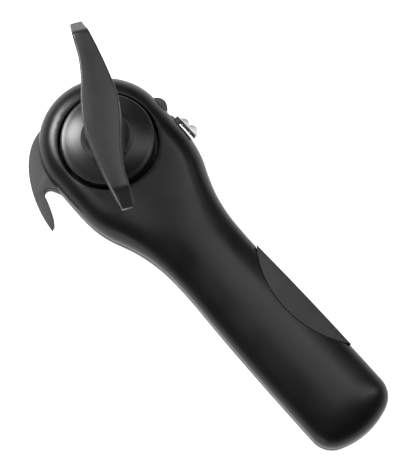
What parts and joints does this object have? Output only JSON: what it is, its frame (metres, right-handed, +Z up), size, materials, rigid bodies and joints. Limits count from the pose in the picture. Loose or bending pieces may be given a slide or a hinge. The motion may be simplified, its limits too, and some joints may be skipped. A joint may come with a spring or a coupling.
{
  "type": "can opener",
  "caption": "Hand-turned side-cut can opener: wing knob on a round head, long handle, ring-pull hook, lid pincer and screw-cap socket.",
  "frame": {"origin": "where the knob's axis crosses the plane that a can's rim seats against, under the head", "axes": "+X along the handle away from the head, +Y towards the lid pincer, +Z up along the knob's axis"},
  "size_m": [0.2393, 0.0889, 0.0844],
  "materials": {
    "casing_black": "satin moulded, fine grain",
    "casing_grey": "matt moulded, fine grain",
    "grip_grey": "flat matt",
    "inset_grey": "matt",
    "knob_black": "satin moulded",
    "plate_steel": "brushed",
    "wheel_steel": "ground",
    "jaw_steel": "fine blasted",
    "pin_steel": "turned",
    "screw_steel": "zinc plated",
    "spring_steel": "drawn wire",
    "bush_plastic": "natural acetal",
    "friction_rubber": "matt"
  },
  "bodies": {
    "housing": {"top_shell": "casing_black", "bottom_shell": "casing_grey", "ring_pull_hook": "casing_grey", "side_grip": "grip_grey", "housing_screws": "screw_steel", "cap_grip": "inset_grey", "base_plate": "plate_steel", "base_plate_screws": "screw_steel", "rim_guide": "casing_grey", "upper_bush": "bush_plastic", "lower_bush": "bush_plastic", "thrust_washer": "bush_plastic", "carrier_bush": "bush_plastic", "lever_pin": "pin_steel", "lever_spring": "spring_steel"},
    "knob": {"turning_knob": "knob_black", "drive_shaft": "pin_steel", "retaining_clip": "spring_steel", "friction_ring": "friction_rubber", "feed_wheel": "wheel_steel", "feed_wheel_screw": "screw_steel"},
    "carrier": {"cutter_carrier": "plate_steel", "carrier_shaft": "pin_steel", "carrier_lever": "bush_plastic", "cutter_axle": "pin_steel", "axle_spacer": "bush_plastic"},
    "cutter": {"cutting_wheel": "wheel_steel"},
    "pincer": {"pinch_lever": "casing_grey", "pincer_jaw": "jaw_steel", "jaw_rivets": "pin_steel"}
  },
  "joints": [
    {"name": "knob_turn", "type": "hinge", "parent": "housing", "child": "knob", "pos_m": [0, 0, 0.02], "axis": [0, 0, 1], "continuous": true},
    {"name": "cutter_swing", "type": "hinge", "parent": "housing", "child": "carrier", "pos_m": [0.0173, 0.0125, 0], "axis": [0, 0, -1], "range_deg": [0, 18.41]},
    {"name": "cutter_spin", "type": "hinge", "parent": "carrier", "child": "cutter", "pos_m": [0.0193, 0, -0.0044], "axis": [0, 0, 1], "continuous": true},
    {"name": "pincer_open", "type": "hinge", "parent": "housing", "child": "pincer", "pos_m": [0.0105, 0.031, 0.0137], "axis": [0, 0, 1], "range_deg": [0, 10], "stiffness_Nm_per_rad": 0.05, "springref_deg": -20.05, "deforming": ["lever_spring"]}
  ]
}
